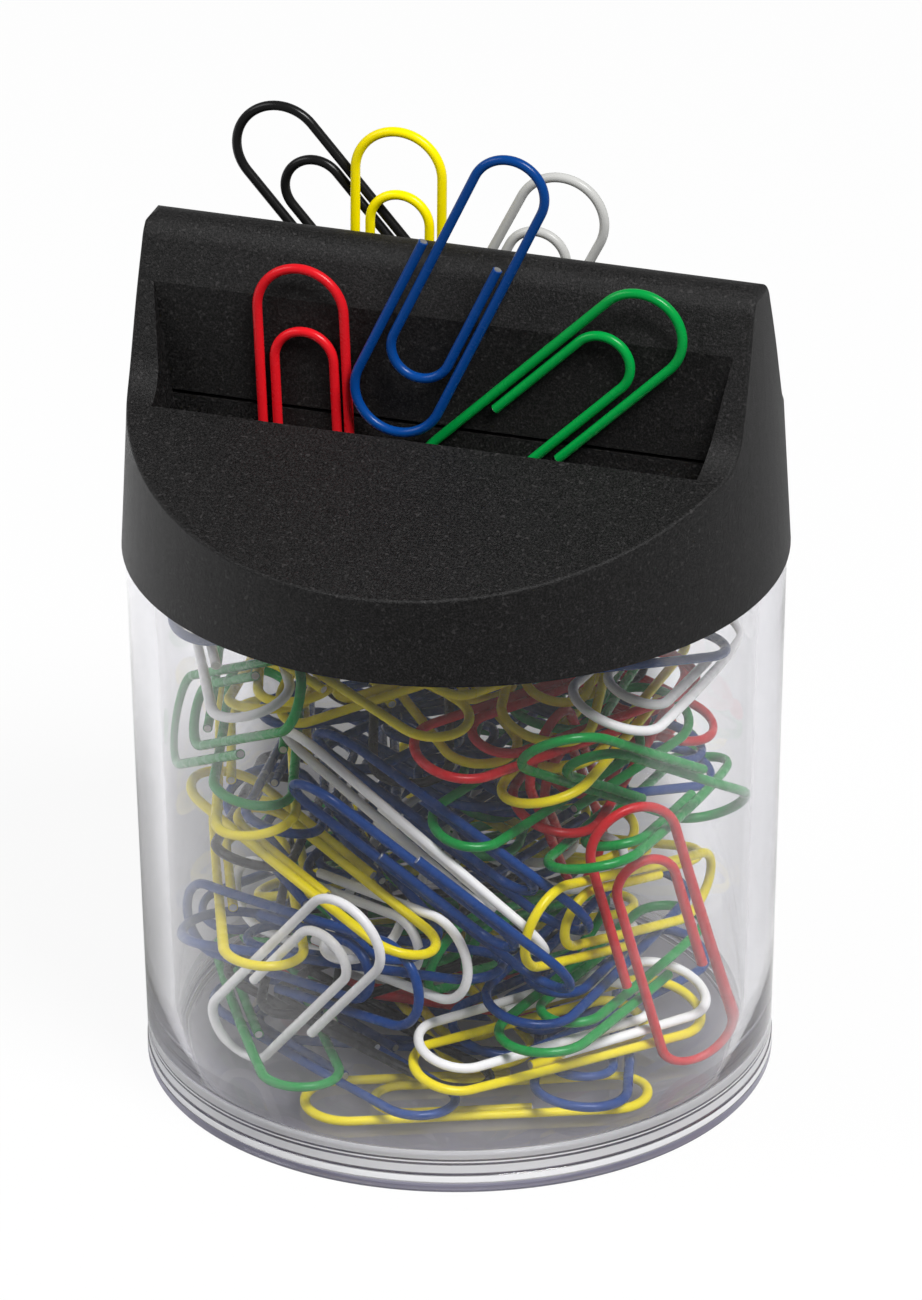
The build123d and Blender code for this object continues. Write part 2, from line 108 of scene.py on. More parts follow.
class Value:
    """An output socket of a node tree. Arithmetic on it adds math nodes to the tree."""

    def __init__(self, tree, node, output=0):
        self.tree = tree
        self.node = node
        self.socket = node.outputs[output] if node.outputs else None

    def out(self, output):
        return Value(self.tree, self.node, output)

    def _math(self, operation, *operands):
        return self.tree.add("ShaderNodeMath", {"operation": operation}, dict(enumerate(operands)))

    def __add__(self, other):
        return self._math("ADD", self, other)

    def __radd__(self, other):
        return self._math("ADD", other, self)

    def __sub__(self, other):
        return self._math("SUBTRACT", self, other)

    def __rsub__(self, other):
        return self._math("SUBTRACT", other, self)

    def __mul__(self, other):
        return self._math("MULTIPLY", self, other)

    def __rmul__(self, other):
        return self._math("MULTIPLY", other, self)

    def __pow__(self, other):
        return self._math("POWER", self, other)

    def __neg__(self):
        return self._math("MULTIPLY", self, -1.0)

    def either(self, other):
        return self._math("MAXIMUM", self, other)

    def ramp(self, low, high):
        """0 below low, 1 above high, smooth between."""
        settings = {"interpolation_type": "SMOOTHSTEP"}
        return self.tree.add("ShaderNodeMapRange", settings, {"Value": self, "From Min": low, "From Max": high})

    def band(self, low, high, soft):
        """1 between low and high, 0 outside, with soft edges."""
        return self.ramp(low - soft, low + soft) * (1 - self.ramp(high - soft, high + soft))


class Tree:
    """The nodes of a material or a world."""

    def __init__(self, owner):
        owner.use_nodes = True
        self.tree = owner.node_tree
        self.tree.nodes.clear()

    def add(self, kind, settings=None, inputs=None):
        """Adds a node, sets its properties, and sets or links its inputs."""
        node = self.tree.nodes.new(kind)
        for name, setting in (settings or {}).items():
            setattr(node, name, setting)
        for key, value in (inputs or {}).items():
            if isinstance(value, Value):
                self.tree.links.new(value.socket, node.inputs[key])
            else:
                node.inputs[key].default_value = value
        return Value(self, node)

    def place(self):
        return self.add("ShaderNodeTexCoord").out("Object")

    def noise(self, scale, detail, rough=0.5):
        """Noise of a scale per metre, about 0.5 in the middle."""
        inputs = {"Vector": self.place(), "Scale": scale, "Detail": detail, "Roughness": rough}
        return self.add("ShaderNodeTexNoise", None, inputs)

    def blend(self, factor, first, second):
        """Colour between two colours."""
        return self.add("ShaderNodeMix", {"data_type": "RGBA"}, {0: factor, 6: first, 7: second}).out(2)

    def bump(self, height, distance, strength):
        return self.add("ShaderNodeBump", None, {"Height": height, "Distance": distance, "Strength": strength})


def rgba(colour, share=1.0):
    return (colour[0] * share, colour[1] * share, colour[2] * share, 1.0)


def new_material(name):
    material = bpy.data.materials.get(name) or bpy.data.materials.new(name)
    return material, Tree(material)


def close_material(tree, shader):
    tree.add("ShaderNodeOutputMaterial", None, {"Surface": shader})


def vinyl_material(name, colour, settings):
    """Glossy vinyl coat: slight changes of tone along the wire and a hint of unevenness."""
    material, tree = new_material(name)
    tone = tree.noise(COAT_CLOUDS, 3.0)
    smears = tree.noise(COAT_SMEARS, 2.0)
    base = tree.blend(tone.ramp(0.3, 0.7), rgba(colour, 0.92), rgba(colour, 1.04))
    skin = {
        "Base Color": base,
        "Roughness": settings.coat_roughness + (smears - 0.5) * 0.1,
        "Normal": tree.bump(tree.noise(COAT_WAVES, 1.0), COAT_DEPTH, 0.12),
        "IOR": PLASTIC_IOR,
        "Specular IOR Level": settings.coat_sheen,
    }
    close_material(tree, tree.add("ShaderNodeBsdfPrincipled", None, skin))
    material.diffuse_color = rgba(colour)
    return material


def steel_material(name):
    """Bare wire at a cut end, with the marks of the cutter."""
    material, tree = new_material(name)
    marks = tree.noise(CUT_MARKS, 2.0)
    steel = {
        "Base Color": tree.blend(marks, *CUT_SHADES),
        "Metallic": 1.0,
        "Roughness": 0.24 + marks * 0.2,
        "Normal": tree.bump(marks, CUT_DEPTH, 0.4),
    }
    close_material(tree, tree.add("ShaderNodeBsdfPrincipled", None, steel))
    return material


def grained_material(name, settings, tone=1.0):
    """Black moulded plastic with a fine spark-eroded grain and tiny lighter specks."""
    material, tree = new_material(name)
    grain = tree.noise(settings.grain_scale, 4.0, 0.8)
    pits = tree.noise(settings.grain_scale * 0.42, 1.0, 0.5)
    specks = tree.noise(settings.grain_scale * 0.6, 0.0).ramp(0.68, 0.8)
    cloud = tree.noise(CAP_CLOUDS, 2.0)
    colour = settings.cap_colour
    # A tone above 1 paints light: the material is drawn lighter all over.
    low, high = rgba(colour, settings.grain_low * tone), rgba(colour, settings.grain_high * tone)
    base = tree.blend(grain.ramp(0.44, 0.6), low, high)
    base = tree.blend(specks * settings.speck_share, base, rgba(colour, settings.speck_tone * tone))
    plastic = {
        "Base Color": base,
        "Roughness": settings.cap_roughness + (grain - 0.5) * 0.3 + (cloud - 0.5) * 0.06,
        "Normal": tree.bump(grain * 0.7 + pits * 0.3, settings.grain_depth, 0.8),
        "IOR": PLASTIC_IOR,
        "Specular IOR Level": settings.cap_sheen,
    }
    close_material(tree, tree.add("ShaderNodeBsdfPrincipled", None, plastic))
    material.diffuse_color = rgba(colour)
    return material


def ferrite_material(name):
    """Pressed and ground ferrite: dark grey with fine grain and faint grinding lines."""
    material, tree = new_material(name)
    grain = tree.noise(FERRITE_GRAIN, 3.0)
    wave = {"Vector": tree.place(), "Scale": GRINDING_LINES, "Distortion": 2.0, "Detail": 2.0}
    lines = tree.add("ShaderNodeTexWave", None, wave)
    ferrite = {
        "Base Color": tree.blend(grain, *FERRITE_SHADES),
        "Roughness": 0.5 + grain * 0.2,
        "Metallic": 0.35,
        "Normal": tree.bump(grain + lines.out("Fac") * 0.3, FERRITE_DEPTH, 0.4),
    }
    close_material(tree, tree.add("ShaderNodeBsdfPrincipled", None, ferrite))
    return material


def ring_share(height, rings):
    """Strength of a set of rings at a height."""
    share = 0.0
    for low, high, strength in rings:
        share = share + height.band(low * MM, high * MM, RING_SOFTNESS * MM) * strength
    return share


def clear_material(name, settings):
    """Clear moulded polystyrene: faint waves in the wall, a trace of grey tint, painted rings of light and
    shade in the foot and a scuffed underside darkened with painted shade. Light passes to what is inside."""
    material, tree = new_material(name)
    waves = tree.noise(WALL_WAVES, 1.0)
    haze = tree.noise(WALL_HAZE, 3.0)
    spot = tree.add("ShaderNodeSeparateXYZ", None, {0: tree.place()})
    radius = (spot.out("X") * spot.out("X") + spot.out("Y") * spot.out("Y")) ** 0.5
    height = spot.out("Z")
    inner_foot = settings.rim_radius - settings.rim_height * math.tan(settings.draft) - settings.foot_width
    under = 1 - height.ramp(settings.floor_recess + 0.05 * MM, settings.floor_recess + 0.25 * MM)
    # The underside inside the foot ring: rougher with scuffs, and darkened with painted shade, as under the
    # heap.
    scuffs_and_shade = under * (1 - radius.ramp(inner_foot - 0.2 * MM, inner_foot))
    glass = {
        "Base Color": WHITE,
        "Roughness": haze.ramp(0.45, 0.9) * 0.03 + scuffs_and_shade * settings.scuff_roughness,
        "Normal": tree.bump(waves, WALL_DEPTH, 0.05),
        "IOR": settings.cup_ior,
        "Transmission Weight": 1.0,
    }
    clear = tree.add("ShaderNodeBsdfPrincipled", None, glass)
    outer = radius.ramp(inner_foot + 0.8 * settings.foot_width, inner_foot + 0.9 * settings.foot_width)
    # Painted light and painted shade: bright, lilac and dark rings on the outer face of the foot, and painted
    # shade on the scuffed underside.
    tones = (
        (settings.painted_light_ring, ring_share(height, PAINTED_LIGHT_RINGS) * outer),
        (settings.painted_lilac_light_ring, ring_share(height, PAINTED_LILAC_LIGHT_RINGS) * outer),
        (settings.painted_shade_colour, ring_share(height, PAINTED_SHADE_RINGS) * outer + scuffs_and_shade * settings.underside_shade),
    )
    for colour, share in tones:
        ring = {"Base Color": rgba(colour), "Roughness": settings.ring_roughness}
        ring = tree.add("ShaderNodeBsdfPrincipled", None, ring)
        clear = tree.add("ShaderNodeMixShader", None, {0: share, 1: clear, 2: ring})
    through = tree.add("ShaderNodeBsdfTransparent", None, {"Color": rgba(WHITE, settings.clearness)})
    rays = tree.add("ShaderNodeLightPath")
    unseen = rays.out("Is Shadow Ray").either(rays.out("Is Diffuse Ray"))
    surface = tree.add("ShaderNodeMixShader", None, {0: unseen, 1: clear, 2: through})
    dye = {"Color": rgba(settings.cup_tint), "Density": settings.cup_density}
    dye = tree.add("ShaderNodeVolumeAbsorption", None, dye)
    tree.add("ShaderNodeOutputMaterial", None, {"Surface": surface, "Volume": dye})
    return material


def floor_material(name, stage):
    """Plain pale table that the camera sees almost white, with a faint shadow. What the holder mirrors or shows
    through its cup carries painted shade near the front, as in a dark room, and a painted shadow of the holder
    behind it. What it mirrors beside and behind it has painted light at the left and painted shade at the
    right."""
    material, tree = new_material(name)
    cloud = tree.noise(TABLE_CLOUDS, 2.0)
    spot = tree.add("ShaderNodeSeparateXYZ", None, {0: tree.place()})
    nearer = spot.out("X") * math.sin(stage.azimuth) - spot.out("Y") * math.cos(stage.azimuth)
    rays = tree.add("ShaderNodeLightPath")
    seen = rays.out("Is Camera Ray")
    pale = tree.blend(cloud, rgba(stage.floor_colour, 0.985), rgba(stage.floor_colour))
    sideways = spot.out("X") * math.cos(stage.azimuth) + spot.out("Y") * math.sin(stage.azimuth)
    # Painted shadow of the holder on the table behind it, for rays other than the camera's.
    shade = 1 - ((sideways * sideways) ** 0.5).ramp(stage.shade_half, stage.shade_half + stage.shade_edge)
    shade = shade * nearer.ramp(-stage.shade_length, -0.5 * stage.shade_length) * stage.shade_depth
    shade = shade * (1 - nearer.ramp(stage.shade_end - stage.shade_edge, stage.shade_end))
    # Painted reflection beside the holder: the right side is drawn darker and the left side glows brighter.
    mirrored = rays.out("Is Reflection Ray") * (1 - nearer.ramp(stage.beside_start, stage.beside_end))
    right = sideways.ramp(stage.side_start, stage.side_end) * mirrored * stage.right_shade
    left = (-sideways).ramp(stage.side_start, stage.side_end) * mirrored
    # Painted shade in all that is not the camera's view: the near side, the holder's shadow and the right side.
    toned = nearer.ramp(stage.near_start, stage.near_end).either(shade).either(right) * (1 - seen)
    # Painted light: the table glows, mostly for rays other than the camera's, all over and more at the left
    # where the holder mirrors it.
    glow = (1 - toned * (1 - stage.near_shade)) * stage.table_light + left * stage.side_light
    table = {
        "Base Color": tree.blend(toned, pale, rgba(stage.floor_colour, stage.near_shade)),
        "Roughness": 0.8 + cloud * 0.1,
        "Specular IOR Level": 0.2,
        "Emission Color": tree.blend(glow, BLACK, WHITE),
        "Emission Strength": stage.glow_strength,
    }
    lit = tree.add("ShaderNodeBsdfPrincipled", None, table)
    white = tree.add("ShaderNodeEmission", None, {"Color": WHITE, "Strength": 1.0})
    close_material(tree, tree.add("ShaderNodeMixShader", None, {0: seen * stage.floor_glow, 1: lit, 2: white}))
    return material


def dress(node, *materials):
    """Gives a CAD node its materials."""
    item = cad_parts[node]
    item.data.materials.clear()
    for material in materials:
        item.data.materials.append(material)


class CupSettings(bpy.types.PropertyGroup):
    """Sizes and looks of the clear cup."""

    rim_radius: FloatProperty(
        name="Shoulder radius", description="Outside, under the cap", default=29.7 * MM, unit="LENGTH"
    )
    rim_height: FloatProperty(
        name="Shoulder height", description="Where the cap sits", default=51.4 * MM, unit="LENGTH"
    )
    neck_height: FloatProperty(
        name="Neck", description="Height inside the cap", default=5.2 * MM, unit="LENGTH"
    )
    neck_wall: FloatProperty(
        name="Neck wall", description="Thickness inside the cap", default=1.1 * MM, unit="LENGTH"
    )
    draft: FloatProperty(
        name="Draft", description="Lean of the wall", default=math.radians(1.36), subtype="ANGLE"
    )
    wall: FloatProperty(name="Wall", description="Thickness", default=2.5 * MM, unit="LENGTH")
    foot_height: FloatProperty(
        name="Foot", description="Height of the foot ring", default=1.9 * MM, unit="LENGTH"
    )
    foot_step: FloatProperty(
        name="Foot step", description="How far the foot stands out", default=0.12 * MM, unit="LENGTH"
    )
    foot_width: FloatProperty(
        name="Foot width", description="Width of the foot ring", default=2.6 * MM, unit="LENGTH"
    )
    foot_round: FloatProperty(
        name="Foot round", description="Outer lower edge", default=0.5 * MM, unit="LENGTH"
    )
    floor_recess: FloatProperty(name="Recess", description="Under the floor", default=1.0 * MM, unit="LENGTH")
    floor_top: FloatProperty(
        name="Floor", description="Height of the floor's top", default=2.8 * MM, unit="LENGTH"
    )
    floor_round: FloatProperty(
        name="Floor round", description="Inside corner", default=1.2 * MM, unit="LENGTH"
    )
    edge_round: FloatProperty(
        name="Edge round", description="All other edges", default=0.12 * MM, unit="LENGTH"
    )
    segments: IntProperty(name="Segments", description="Round the cup", default=192)
    cup_tint: FloatVectorProperty(
        name="Tint", description="Of the plastic", default=(0.5, 0.48, 0.6), subtype="COLOR"
    )
    cup_density: FloatProperty(name="Density", description="Of the tint, per metre", default=42.0)
    # Painted light: colour of the bright rings on the foot.
    painted_light_ring: FloatVectorProperty(
        name="Light rings", description="In the foot", default=(0.86, 0.86, 0.88), subtype="COLOR"
    )
    # Painted light: colour of the lilac rings on the foot.
    painted_lilac_light_ring: FloatVectorProperty(
        name="Lilac rings", description="In the foot", default=(0.28, 0.27, 0.38), subtype="COLOR"
    )
    # Painted shade: colour of the dark rings on the foot and of the shade on the underside.
    painted_shade_colour: FloatVectorProperty(
        name="Dark rings", description="In the foot", default=(0.1, 0.09, 0.13), subtype="COLOR"
    )
    ring_roughness: FloatProperty(name="Ring roughness", description="Of all rings in the foot", default=0.35)
    clearness: FloatProperty(
        name="Clearness", description="Share of the light that passes a wall's face", default=0.95
    )
    scuff_roughness: FloatProperty(name="Scuffs", description="Roughness of the underside", default=0.5)
    # Painted shade: how dark the underside inside the foot ring is drawn.
    underside_shade: FloatProperty(
        name="Scuff tone", description="How dark the scuffs make the underside", default=0.45
    )
    cup_ior: FloatProperty(name="Refraction", description="Index of the plastic", default=1.57)


class CapSettings(bpy.types.PropertyGroup):
    """Looks of the black pieces."""

    cap_colour: FloatVectorProperty(
        name="Colour", description="Of the plastic", default=(0.0038, 0.0036, 0.0036), subtype="COLOR"
    )
    cap_roughness: FloatProperty(name="Roughness", description="Of the grain", default=0.48)
    cap_sheen: FloatProperty(name="Sheen", description="Strength of the reflections", default=0.25)
    grain_scale: FloatProperty(name="Grain", description="Grains per metre", default=5400.0)
    grain_depth: FloatProperty(
        name="Grain depth", description="Of the relief", default=0.14 * MM, unit="LENGTH"
    )
    grain_low: FloatProperty(name="Dark grains", description="Tone against the colour", default=0.1)
    grain_high: FloatProperty(name="Light grains", description="Tone against the colour", default=4.0)
    speck_tone: FloatProperty(name="Speck tone", description="Tone against the colour", default=12.0)
    # Painted light: the insert is drawn lighter than the cap, for the light on its upturned face.
    insert_painted_light: FloatProperty(name="Insert", description="Tone of the insert against the cap", default=1.25)
    speck_share: FloatProperty(name="Specks", description="Strength of the lighter specks", default=0.5)


class ClipSettings(bpy.types.PropertyGroup):
    """Looks of the coated clips."""

    red: FloatVectorProperty(name="Red", description="Coat", default=(0.60, 0.008, 0.014), subtype="COLOR")
    blue: FloatVectorProperty(name="Blue", description="Coat", default=(0.001, 0.043, 0.205), subtype="COLOR")
    green: FloatVectorProperty(name="Green", description="Coat", default=(0.0, 0.265, 0.044), subtype="COLOR")
    black: FloatVectorProperty(
        name="Black", description="Coat", default=(0.008, 0.008, 0.008), subtype="COLOR"
    )
    yellow: FloatVectorProperty(name="Yellow", description="Coat", default=(0.83, 0.69, 0.0), subtype="COLOR")
    white: FloatVectorProperty(name="White", description="Coat", default=(0.92, 0.92, 0.9), subtype="COLOR")
    # Painted shade: the held white clip, which the key light reaches straight, has a greyer coat than the loose
    # white clips.
    held_white: FloatVectorProperty(
        name="Held white",
        description="Coat, greyer than the loose ones",
        default=(0.46, 0.46, 0.445),
        subtype="COLOR",
    )
    coat_roughness: FloatProperty(name="Roughness", description="Of the coat", default=0.27)
    coat_sheen: FloatProperty(name="Sheen", description="Strength of the coat's reflections", default=0.2)
    wire: FloatProperty(name="Wire", description="Diameter with its coat", default=0.88 * MM, unit="LENGTH")
    core: FloatProperty(
        name="Core", description="Diameter of the bare wire", default=0.66 * MM, unit="LENGTH"
    )
    length: FloatProperty(name="Length", description="Of a clip", default=31.1 * MM, unit="LENGTH")
    width: FloatProperty(name="Width", description="Of a clip", default=9.0 * MM, unit="LENGTH")
    inner_pitch: FloatProperty(
        name="Inner pitch", description="Second run to fourth run", default=1.15 * MM, unit="LENGTH"
    )
    first_end: FloatProperty(
        name="First end", description="From the big bend", default=18.5 * MM, unit="LENGTH"
    )
    last_end: FloatProperty(
        name="Last end", description="From the big bend", default=19.8 * MM, unit="LENGTH"
    )
    middle: FloatVectorProperty(
        name="Middle",
        description="Of the held red clip",
        default=(-12.45 * MM, -4.69 * MM, 63.0 * MM),
        subtype="TRANSLATION",
    )
    lean: FloatProperty(
        name="Lean", description="Of the held red clip", default=math.radians(178.0), subtype="ANGLE"
    )


class StageSettings(bpy.types.PropertyGroup):
    """Table, light and camera."""

    floor_colour: FloatVectorProperty(
        name="Table", description="Colour", default=(0.66, 0.66, 0.665), subtype="COLOR"
    )
    floor_glow: FloatProperty(
        name="Glow", description="Share of plain white in the table that the camera sees", default=0.92
    )
    # Painted light: the table's own glow, seen mostly in reflections and through the cup.
    glow_strength: FloatProperty(
        name="Table glow", description="Strength of the table's own light", default=1.5
    )
    table_light: FloatProperty(name="Table light", description="Share of the glow all over", default=0.08)
    side_light: FloatProperty(
        name="Side light", description="Share of the glow that mirrors beside the holder", default=0.18
    )
    # Painted shade: how far the mirrored right side is drawn darker.
    right_shade: FloatProperty(
        name="Right side", description="How far the mirrored right side is toned", default=0.3
    )
    side_start: FloatProperty(
        name="Side start", description="Where the sides start", default=0.03, unit="LENGTH"
    )
    side_end: FloatProperty(
        name="Side end", description="Where they count in full", default=0.05, unit="LENGTH"
    )
    beside_start: FloatProperty(
        name="Beside start", description="Where the sides fade", default=-0.01, unit="LENGTH"
    )
    beside_end: FloatProperty(
        name="Beside end", description="Where they are gone", default=0.03, unit="LENGTH"
    )
    # Painted shade: the near side of the table in reflections, as in a dark room.
    near_shade: FloatProperty(
        name="Near side", description="Tone of the table's near side in reflections", default=0.25
    )
    # Painted shadow of the holder on the table: its width, soft edge, length, front end and depth.
    shade_half: FloatProperty(
        name="Shade", description="Half the width of the holder's shade", default=0.0215, unit="LENGTH"
    )
    shade_edge: FloatProperty(
        name="Shade edge", description="Width of its soft edge", default=8 * MM, unit="LENGTH"
    )
    shade_length: FloatProperty(
        name="Shade length", description="Of the holder's shade", default=0.2, unit="LENGTH"
    )
    shade_end: FloatProperty(name="Shade end", description="Towards the camera", default=0.034, unit="LENGTH")
    shade_depth: FloatProperty(
        name="Shade depth", description="Share of the toned table in the shade", default=0.78
    )
    near_start: FloatProperty(
        name="Near start", description="Where the toned side starts", default=0.036, unit="LENGTH"
    )
    near_end: FloatProperty(
        name="Near end", description="Where it is toned in full", default=0.052, unit="LENGTH"
    )
    room_light: FloatProperty(name="Room", description="Light from all round", default=0.13)
    back_light: FloatProperty(name="Back", description="More light from low behind", default=0.4)
    front_light: FloatProperty(name="Front", description="More light from low in front", default=0.075)
    key_power: FloatProperty(name="Key", description="Watts", default=15.0)
    key_place: FloatVectorProperty(
        name="Key place", description="Of the lamp", default=(0.5, -0.38, 0.9), unit="LENGTH"
    )
    key_size: FloatProperty(name="Key size", description="Diameter", default=0.4, unit="LENGTH")
    side_power: FloatProperty(name="Side", description="Watts", default=4.0)
    side_place: FloatVectorProperty(
        name="Side place", description="Of the lamp", default=(-0.7, -0.42, 0.65), unit="LENGTH"
    )
    side_size: FloatProperty(name="Side size", description="Diameter", default=0.6, unit="LENGTH")
    azimuth: FloatProperty(
        name="Azimuth", description="Of the camera", default=math.radians(18.49), subtype="ANGLE"
    )
    elevation: FloatProperty(
        name="Elevation", description="Of the camera", default=math.radians(26.465), subtype="ANGLE"
    )
    roll: FloatProperty(
        name="Roll", description="Of the camera", default=math.radians(-0.422), subtype="ANGLE"
    )
    distance: FloatProperty(name="Distance", description="Of the camera", default=1.0, unit="LENGTH")
    target: FloatProperty(name="Target", description="Height that it looks at", default=0.04, unit="LENGTH")
    lens: FloatProperty(name="Lens", description="Focal length", default=307.336)
    shift_x: FloatProperty(name="Shift across", description="Of the lens", default=0.003116)
    shift_y: FloatProperty(name="Shift up", description="Of the lens", default=0.000937)


class HolderSettings(bpy.types.PropertyGroup):
    """All settings of the holder."""

    cup: PointerProperty(type=CupSettings, name="Cup", description="Clear cup")
    cap: PointerProperty(type=CapSettings, name="Cap", description="Black pieces")
    clips: PointerProperty(type=ClipSettings, name="Clips", description="Coated clips")
    stage: PointerProperty(type=StageSettings, name="Stage", description="Table, light and camera")


def arc(centre, radius, start, end, steps):
    """Points on an arc, angles in degrees."""
    angles = np.radians(np.linspace(start, end, steps))
    return [(centre[0] + radius * math.cos(a), centre[1] + radius * math.sin(a)) for a in angles]


def cup_profile(cup):
    """Half section of the cup, from the middle of its underside round to the middle of its floor."""
    slope = math.tan(cup.draft)

    def outer(z):
        return cup.rim_radius - (cup.rim_height - z) * slope

    foot = outer(0) + cup.foot_step
    inner_foot = foot - cup.foot_width
    bottom = outer(cup.floor_top) - cup.wall
    inner = cup.rim_radius - cup.wall
    neck_top = cup.rim_height + cup.neck_height
    edge = cup.edge_round
    points = [(0, cup.floor_recess), (inner_foot - edge, cup.floor_recess)]
    points += arc((inner_foot - edge, cup.floor_recess - edge), edge, 90, 0, EDGE_STEPS)[1:]
    points += [(inner_foot, edge), (inner_foot + edge, 0)]
    points += arc((foot - cup.foot_round, cup.foot_round), cup.foot_round, -90, 0, FOOT_STEPS)
    points += arc((foot - edge, cup.foot_height - edge), edge, 0, 90, EDGE_STEPS)
    points += [(outer(cup.foot_height), cup.foot_height + cup.foot_step)]
    wall_start = cup.foot_height + 2 * cup.foot_step
    points += [(outer(z), z) for z in np.linspace(wall_start, cup.rim_height - edge, WALL_STEPS)]
    points += [(cup.rim_radius - edge, cup.rim_height), (inner + cup.neck_wall, cup.rim_height)]
    points += [(inner + cup.neck_wall, neck_top - edge), (inner + cup.neck_wall - edge, neck_top)]
    points += [(inner + edge, neck_top), (inner, neck_top - edge)]
    wall_end = cup.floor_top + cup.floor_round
    points += [(outer(z) - cup.wall, z) for z in np.linspace(cup.rim_height, wall_end, WALL_STEPS)]
    points += arc((bottom - cup.floor_round, wall_end), cup.floor_round, 0, -90, FLOOR_STEPS)[1:]
    points += [(0, cup.floor_top)]
    return points


def turned(name, profile, segments):
    """Mesh object turned about Z from a half section that starts and ends on the axis."""
    mesh = bpy.data.meshes.new(name)
    shape = bmesh.new()
    rings = []
    for radius, z in profile:
        if radius < 1e-9:
            rings.append([shape.verts.new((0, 0, z))])
            continue
        angles = [2 * math.pi * i / segments for i in range(segments)]
        rings.append([shape.verts.new((radius * math.cos(a), radius * math.sin(a), z)) for a in angles])
    for low, high in zip(rings, rings[1:]):
        for i in range(segments):
            j = (i + 1) % segments
            corners = [low[i % len(low)], low[j % len(low)], high[j % len(high)], high[i % len(high)]]
            shape.faces.new(list(dict.fromkeys(corners)))
    bmesh.ops.recalc_face_normals(shape, faces=shape.faces)
    shape.to_mesh(mesh)
    shape.free()
    mesh.shade_smooth()
    mesh.set_sharp_from_angle(angle=SHARP_ANGLE)
    item = bpy.data.objects.new(name, mesh)
    bpy.context.scene.collection.objects.link(item)
    return item


def node_points(node):
    """Corners of a CAD node's mesh, one row each."""
    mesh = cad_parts[node].data
    points = np.zeros(len(mesh.vertices) * 3, np.float32)
    mesh.vertices.foreach_get("co", points)
    return points.reshape(-1, 3).astype(float)


class HOLDER_OT_cup(bpy.types.Operator):
    """Make the clear cup"""

    bl_idname = "holder.cup"
    bl_label = "Cup"
    bl_options = {"REGISTER", "UNDO"}

    def execute(self, context):
        cup = context.scene.clip_holder.cup
        item = turned("cup_shell", cup_profile(cup), cup.segments)
        item.data.materials.append(clear_material("clear_polystyrene", cup))
        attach(item, "cup")
        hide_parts("cup")
        return {"FINISHED"}


class HOLDER_OT_cap(bpy.types.Operator):
    """Dress the cap, its insert and the magnet"""

    bl_idname = "holder.cap"
    bl_label = "Cap and Magnet"
    bl_options = {"REGISTER", "UNDO"}

    def execute(self, context):
        cap = context.scene.clip_holder.cap
        dress("cap", grained_material("grained_black", cap))
        # Painted light: a lighter copy of the grained black for the insert.
        dress("magnet_holder", grained_material("grained_insert", cap, cap.insert_painted_light))
        dress("magnet", ferrite_material("ground_ferrite"))
        return {"FINISHED"}


def cad_faces(node):
    """Number of the CAD face that each polygon of a node is part of, as they follow each other in the mesh."""
    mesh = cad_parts[node].data
    corners, starts = np.zeros(len(mesh.loops), np.int32), np.zeros(len(mesh.polygons), np.int32)
    mesh.loops.foreach_get("vertex_index", corners)
    mesh.polygons.foreach_get("loop_start", starts)
    highest = np.maximum.accumulate(np.maximum.reduceat(corners, starts))
    lowest = np.minimum.accumulate(np.minimum.reduceat(corners, starts)[::-1])[::-1]
    return np.concatenate(([0], np.cumsum(highest[:-1] < lowest[1:])))


def bare_faces(node, clips):
    """How many faces a clip has, and which of them are bare wire at a cut end, from the held red clip."""
    along = np.array((math.sin(clips.lean), 0, math.cos(clips.lean)))
    across = np.cross(along, (0, 1, 0))
    away = node_points(node) - np.array(clips.middle)
    side, run, height = away @ across, away @ along, away[:, 1]
    outer_run = (clips.width - clips.wire) / 2
    big_bend = (clips.length - clips.wire) / 2
    bare = np.zeros(len(away), bool)
    for cut_side, cut_end in ((-outer_run, clips.first_end), (outer_run - clips.inner_pitch, clips.last_end)):
        on_core = np.hypot(side - cut_side, height) < clips.core / 2 + PLACE_SLACK
        bare |= on_core & (run > cut_end - big_bend - PLACE_SLACK)
    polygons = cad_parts[node].data.polygons
    flags = np.array([all(bare[corner] for corner in polygon.vertices) for polygon in polygons])
    faces = cad_faces(node)
    count = faces[-1] + 1
    return count, [face for face in range(count) if flags[faces == face].all()]


def bare_area(node, count, bare):
    """Flags of a node's polygons on the bare faces, and their area on one clip."""
    faces = cad_faces(node)
    flags = np.isin(faces % count, bare)
    areas = np.zeros(len(faces), np.float32)
    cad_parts[node].data.polygons.foreach_get("area", areas)
    return flags, areas[flags].sum() * count / (faces[-1] + 1)


def mark_bare_ends(node, count, bare, area):
    """Gives the second material to the bare faces of each clip in a node, if their area is right."""
    flags, own_area = bare_area(node, count, bare)
    if abs(own_area - area) < AREA_SLACK * area:
        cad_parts[node].data.polygons.foreach_set("material_index", flags.astype(np.int32))


class HOLDER_OT_clips(bpy.types.Operator):
    """Dress the held and the loose clips"""

    bl_idname = "holder.clips"
    bl_label = "Clips"
    bl_options = {"REGISTER", "UNDO"}

    def execute(self, context):
        clips = context.scene.clip_holder.clips
        steel = steel_material("cut_steel")
        count, bare = bare_faces("held_clip_red", clips)
        area = bare_area("held_clip_red", count, bare)[1]
        for colour in CLIP_COLOURS:
            coat = vinyl_material("vinyl_" + colour, getattr(clips, colour), clips)
            for node in ("held_clip_" + colour, "loose_clips_" + colour):
                dress(node, coat, steel)
                mark_bare_ends(node, count, bare, area)
        # Painted shade: a greyer white coat for the held white clip.
        held_white = vinyl_material("vinyl_held_white", clips.held_white, clips)
        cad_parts["held_clip_white"].data.materials[0] = held_white
        return {"FINISHED"}


